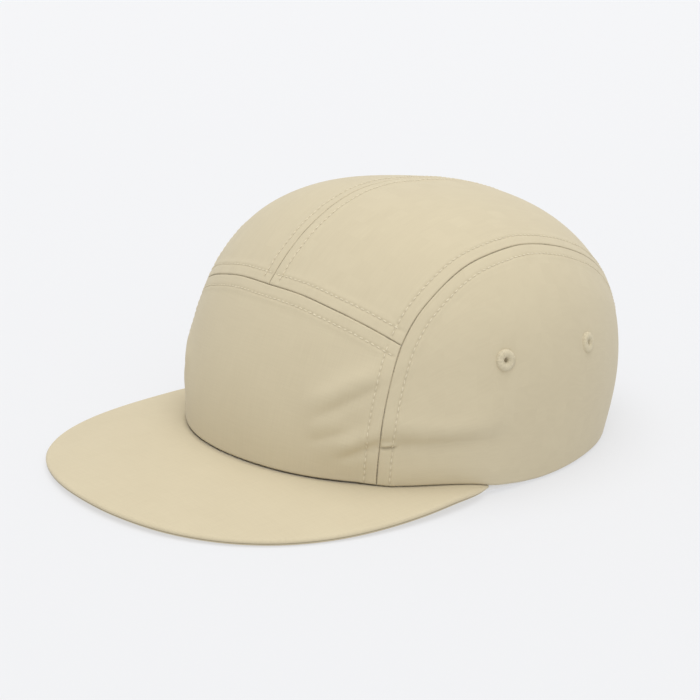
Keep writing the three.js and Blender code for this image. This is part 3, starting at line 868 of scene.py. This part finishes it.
# %% Eyelet holes
HOLE_RADIUS = 2.3 * MM
RIM_REACH = 2 * HOLE_RADIUS
eyelet_axes = {}
for eyelet in EYELETS:
    skin = skins[panel_of(eyelet)]
    spot, normal, _, _ = BVHTree.FromBMesh(skin).find_nearest(middle_of(eyelet))
    eyelet_axes[eyelet] = (spot, normal)
    gone = [face for face in skin.faces if (face.calc_center_median() - spot).length < HOLE_RADIUS]
    bmesh.ops.delete(skin, geom=gone, context="FACES")
    rim = [vert for vert in skin.verts if vert.is_boundary and (vert.co - spot).length < RIM_REACH]
    for vert in rim:
        flat = (vert.co - spot) - normal * (vert.co - spot).dot(normal)
        vert.co += flat.normalized() * HOLE_RADIUS - flat
    print(eyelet, "stands at", [round(value / MM, 1) for value in spot])

# %% [markdown]
# ## The panels
#
# A skin becomes cloth with a Solidify modifier, which adds the inner face and the cut edges at the wall's
# real thickness. The relief has already rolled the outer face in along every edge, so no edge there is sharp.

# %% Panels
CLOTH_WALL = 1.4 * MM
skin_trees = {name: BVHTree.FromBMesh(skin) for name, skin in skins.items()}
for name in PANELS:
    panel = add_piece(name + "_cloth", skins[name], crown_cloth, [name])
    wall = panel.modifiers.new("wall", "SOLIDIFY")
    wall.thickness = CLOTH_WALL
    wall.offset = -1
    print(panel.name, "is a wall of", CLOTH_WALL / MM, "mm")

# %% [markdown]
# ## The stitches
#
# From close by, a stitch is a short grain of thread that dives into the cloth at both ends. A stretched
# sphere with few faces, half sunk in the valley of its row, gives that at a few dozen faces each, and all the
# stitches of a panel are one mesh. No two are quite alike, because a machine's thread never lies quite
# straight.

# %% Stitches
STITCH_LENGTH = 1.95 * MM
STITCH_WIDTH = 0.46 * MM
STITCH_HEIGHT = 0.44 * MM
STITCH_LIFT = 0.1 * MM
STITCH_SPREAD = 0.07  # how much a stitch's length and direction differ from the next one's, as a share
STITCH_FACES = (8, 6)  # round a stitch and along it
LONGEST_STEP = 1.2 * STITCH_PITCH  # two points of a row that are further apart are ends of it
SEED = 5
chance = random.Random(SEED)


def add_stitch(shape, start, end, surface):
    """One stitch between two needle holes of a surface."""
    spot, normal, _, _ = surface.find_nearest((start + end) / 2)
    along = surface.find_nearest(end)[0] - surface.find_nearest(start)[0]
    across = normal.cross(along).normalized()
    along = (across.cross(normal) + across * chance.uniform(-STITCH_SPREAD, STITCH_SPREAD)).normalized()
    turn = Matrix((along, normal.cross(along), normal)).transposed().to_4x4()
    length = STITCH_LENGTH * (1 + chance.uniform(-STITCH_SPREAD, STITCH_SPREAD))
    size = Matrix.Diagonal((length / 2, STITCH_WIDTH / 2, STITCH_HEIGHT / 2, 1))
    bmesh.ops.create_uvsphere(
        shape, u_segments=STITCH_FACES[0], v_segments=STITCH_FACES[1], radius=1,
        matrix=Matrix.Translation(spot + normal * STITCH_LIFT) @ turn @ size,
    )


for name in PANELS:
    shape = bmesh.new()
    pairs = [pair for row in stitches[name] for pair in zip(row, row[1:])]
    pairs = [(start, end) for start, end in pairs if (end - start).length < LONGEST_STEP]
    for start, end in pairs:
        add_stitch(shape, start, end, skin_trees[name])
    bmesh.ops.recalc_face_normals(shape, faces=shape.faces)
    add_piece(name + "_stitches", shape, sewing_thread)
    print(name, "has", len(pairs), "stitches")

# %% [markdown]
# ## The eyelets
#
# An embroidered eyelet is a hole whose edge is bound with satin stitch: loops of thread side by side, each
# going down through the hole and up through the cloth outside it. One loop is a small circle spun round a
# larger one and squashed to the thickness of the cloth. Copies of it, turned round the hole's axis and each a
# little different, make the ring. A smooth ring under them closes the gaps: a circle spun round the axis and
# flattened to the loops' own section.

# %% Eyelets
LOOPS = 42
THREAD_RADIUS = 0.3 * MM
THREAD_SINK = 0.16 * MM  # how deep the threads lie in the ring under them
INWARD_REACH = 0.5 * MM  # how far the thread closes the hole beyond its solid
LOOP_STEPS = 10
THREAD_SIDES = 5
RING_STEPS = 40
LOOP_SPREAD = 0.15  # of the way to the next loop
LOOP_UNEVEN = 0.3  # of the thread's radius


def ring_sizes(node, spot, axis):
    """The outer and hole radius of an eyelet, and how far it reaches along its axis, from its solid."""
    away = [vert.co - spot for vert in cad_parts[node].data.vertices]
    heights = [offset.dot(axis) for offset in away]
    radii = [(offset - axis * height).length for offset, height in zip(away, heights)]
    return max(radii), min(radii), min(heights), max(heights)


def add_torus(shape, section, radius, steps, sides):
    """A ring of round section about the Z axis, spun from a circle. It returns its vertices."""
    before = set(shape.verts)
    made = bmesh.ops.create_circle(shape, cap_ends=False, radius=section, segments=sides)["verts"]
    stand = Matrix.Translation((radius, 0, 0)) @ Matrix.Rotation(math.pi / 2, 4, "X")
    bmesh.ops.transform(shape, matrix=stand, verts=made)
    edges = list({edge for vert in made for edge in vert.link_edges})
    bmesh.ops.spin(
        shape, geom=made + edges, cent=(0, 0, 0), axis=(0, 0, 1), dvec=(0, 0, 0),
        angle=2 * math.pi, steps=steps, use_merge=True, use_duplicate=False,
    )
    return [vert for vert in shape.verts if vert not in before]


def add_loop(shape, width, reach, middle, turn):
    """A closed loop of thread, round the section of an eyelet at one place of its ring."""
    loop = add_torus(shape, THREAD_RADIUS, width, LOOP_STEPS, THREAD_SIDES)
    lay = Matrix.Rotation(math.pi / 2, 4, "X")
    squash = Matrix.Diagonal((1, 1, reach / width, 1))
    bmesh.ops.transform(shape, matrix=turn @ Matrix.Translation((middle, 0, 0)) @ squash @ lay, verts=loop)


for eyelet in EYELETS:
    spot, axis = eyelet_axes[eyelet]
    outer, hole, low, high = ring_sizes(eyelet, spot, axis)
    hole -= INWARD_REACH
    through = (high - low) / 2 - THREAD_RADIUS
    middle = (outer + hole) / 2
    width = (outer - hole) / 2 - THREAD_RADIUS
    shape = bmesh.new()
    cover = THREAD_RADIUS - THREAD_SINK
    ring = add_torus(shape, width + cover, middle, RING_STEPS, 2 * LOOP_STEPS)
    flatten = Matrix.Diagonal((1, 1, (through + cover) / (width + cover), 1))
    bmesh.ops.transform(shape, matrix=flatten, verts=ring)
    for index in range(LOOPS):
        turned = index + chance.uniform(-LOOP_SPREAD, LOOP_SPREAD)
        turn = Matrix.Rotation(2 * math.pi * turned / LOOPS, 4, "Z")
        uneven = THREAD_RADIUS * chance.uniform(-LOOP_UNEVEN, LOOP_UNEVEN)
        add_loop(shape, width + uneven, through + uneven, middle, turn)
    stand = Vector((0, 0, 1)).rotation_difference(axis).to_matrix().to_4x4()
    centre = spot + axis * (high + low) / 2
    bmesh.ops.transform(shape, matrix=Matrix.Translation(centre) @ stand, verts=shape.verts)
    bmesh.ops.recalc_face_normals(shape, faces=shape.faces)
    count = len(shape.faces)
    add_piece(eyelet + "_thread", shape, eyelet_thread, [eyelet])
    print(eyelet, "is", round(2 * outer / MM, 1), "mm across, in", count, "faces")

# %% [markdown]
# ## The peak
#
# The peak is a board between two cloths that meet at its edge. Its solid already has the outline, the arch
# and the rounded edge. The edge's ring of faces is cut by three loops. The lowest is pushed in a little as
# the seam, because the two cloths are sewn together low on the edge, where the seam itself hardly shows, and
# a dark line of painted shade runs along it, for the shade where the edge meets the table. A crease keeps the
# root square where it goes in under the crown, and the subdivision rounds the rest.

# %% Peak
PEAK_SEAM_DEPTH = 0.1 * MM
PEAK_PAINTED_SHADE = 0.8
RIM_CUTS = 3
PEAK_LEVELS = 2
ROOT_ANGLE = math.radians(60)
UPRIGHT = 0.95  # an edge of the rim points up this much at least
LEVEL = 0.5  # and its faces less than this
PEAK_WAVE = 0.12 * MM
PEAK_WAVE_LENGTH = 24 * MM


def flat_uv(shape):
    """A UV map in millimetres, seen from above."""
    layer = shape.loops.layers.uv.new("cloth_mm")
    for face in shape.faces:
        for loop in face.loops:
            loop[layer].uv = (loop.vert.co.x / MM, loop.vert.co.y / MM)


peak = solid_surface("peak")
pair_triangles(peak)
peak_shade_layer = peak.verts.layers.float.new(PAINTED_SHADE_ATTRIBUTE)
crease = peak.edges.layers.float.new("crease_edge")
for edge in peak.edges:
    if edge.calc_face_angle() > ROOT_ANGLE:
        edge[crease] = 1.0
upright_edges = [edge for edge in peak.edges
                 if abs((edge.verts[0].co - edge.verts[1].co).normalized().z) > UPRIGHT
                 and all(abs(face.normal.z) < LEVEL for face in edge.link_faces)
                 and all(not other[crease] for vert in edge.verts for other in vert.link_edges)]
cut = bmesh.ops.subdivide_edges(peak, edges=upright_edges, cuts=RIM_CUTS)
print("peak edge cut across", len(upright_edges), "edges")
fresh = {item for item in cut["geom_inner"] if isinstance(item, bmesh.types.BMVert)}
lowest = [vert for vert in fresh
          if any(edge.other_vert(vert) not in fresh and edge.other_vert(vert).co.z < vert.co.z
                 for edge in vert.link_edges)]
peak.normal_update()
# the lowest loop is pushed in as the seam and painted dark: painted shade where the edge meets the table
for vert in lowest:
    vert.co -= vert.normal * PEAK_SEAM_DEPTH
    vert[peak_shade_layer] = PEAK_PAINTED_SHADE
peak = subdivided(peak, PEAK_LEVELS)
for vert in peak.verts:
    vert.co += vert.normal * PEAK_WAVE * noise.noise(vert.co / PEAK_WAVE_LENGTH)
    from_hem = min(tree.find_nearest(vert.co)[3] for tree in trees.values())
    share = near_corner(vert.co) * (1 - ease(from_hem, *ROOT_REACH))
    vert.co += Vector((0, CORNER_BACK, CORNER_RISE)) * share
flat_uv(peak)
print("peak has", len(peak.faces), "faces, and", len(lowest), "points on its seam")
add_piece("peak_cloth", peak, peak_cloth, ["peak"])

# %% [markdown]
# ## The sweatband, the strap and the slider
#
# These are bands of even thickness. Their sharp edges are bevelled, and the two that bend round the crown are
# then subdivided, because a subdivision alone would draw a long thin face in from each edge.

# %% Bands
CROWN_RADIUS = 90  # mm, near enough for a map of the cloth
BAND_EDGES = {"sweatband": 0.45 * MM, "back_strap": 0.35 * MM, "strap_slider": 0.3 * MM}
BAND_LEVELS = {"sweatband": 1, "back_strap": 2}
BAND_ANGLE = math.radians(50)
ROUND = {"segments": 2, "profile": 0.5}


def wrapped_uv(shape, facing):
    """A UV map in millimetres round the crown, cut open opposite to where it faces."""
    layer = shape.loops.layers.uv.new("cloth_mm")
    for face in shape.faces:
        for loop in face.loops:
            offset = loop.vert.co - CROWN_MIDDLE
            around = math.atan2(offset.x, offset.y * facing)
            loop[layer].uv = (around * CROWN_RADIUS, loop.vert.co.z / MM)


def soft_edged(node):
    """A solid of the frame with its edges rounded."""
    shape = solid_surface(node)
    pair_triangles(shape)
    sharp = [edge for edge in shape.edges if edge.calc_face_angle() > BAND_ANGLE]
    bmesh.ops.bevel(
        shape, geom=sharp, affect="EDGES", offset_type="OFFSET", offset=BAND_EDGES[node], material=-1,
        **ROUND,
    )
    return shape


band = subdivided(soft_edged("sweatband"), BAND_LEVELS["sweatband"])
wrapped_uv(band, -1)
add_piece("sweatband_cloth", band, band_cloth, ["sweatband"])
strap = subdivided(soft_edged("back_strap"), BAND_LEVELS["back_strap"])
wrapped_uv(strap, 1)
add_piece("back_strap_webbing", strap, webbing, ["back_strap"])
slider = soft_edged("strap_slider")
add_piece("strap_slider_plastic", slider, slider_plastic, ["strap_slider"])
print("bands are ready")
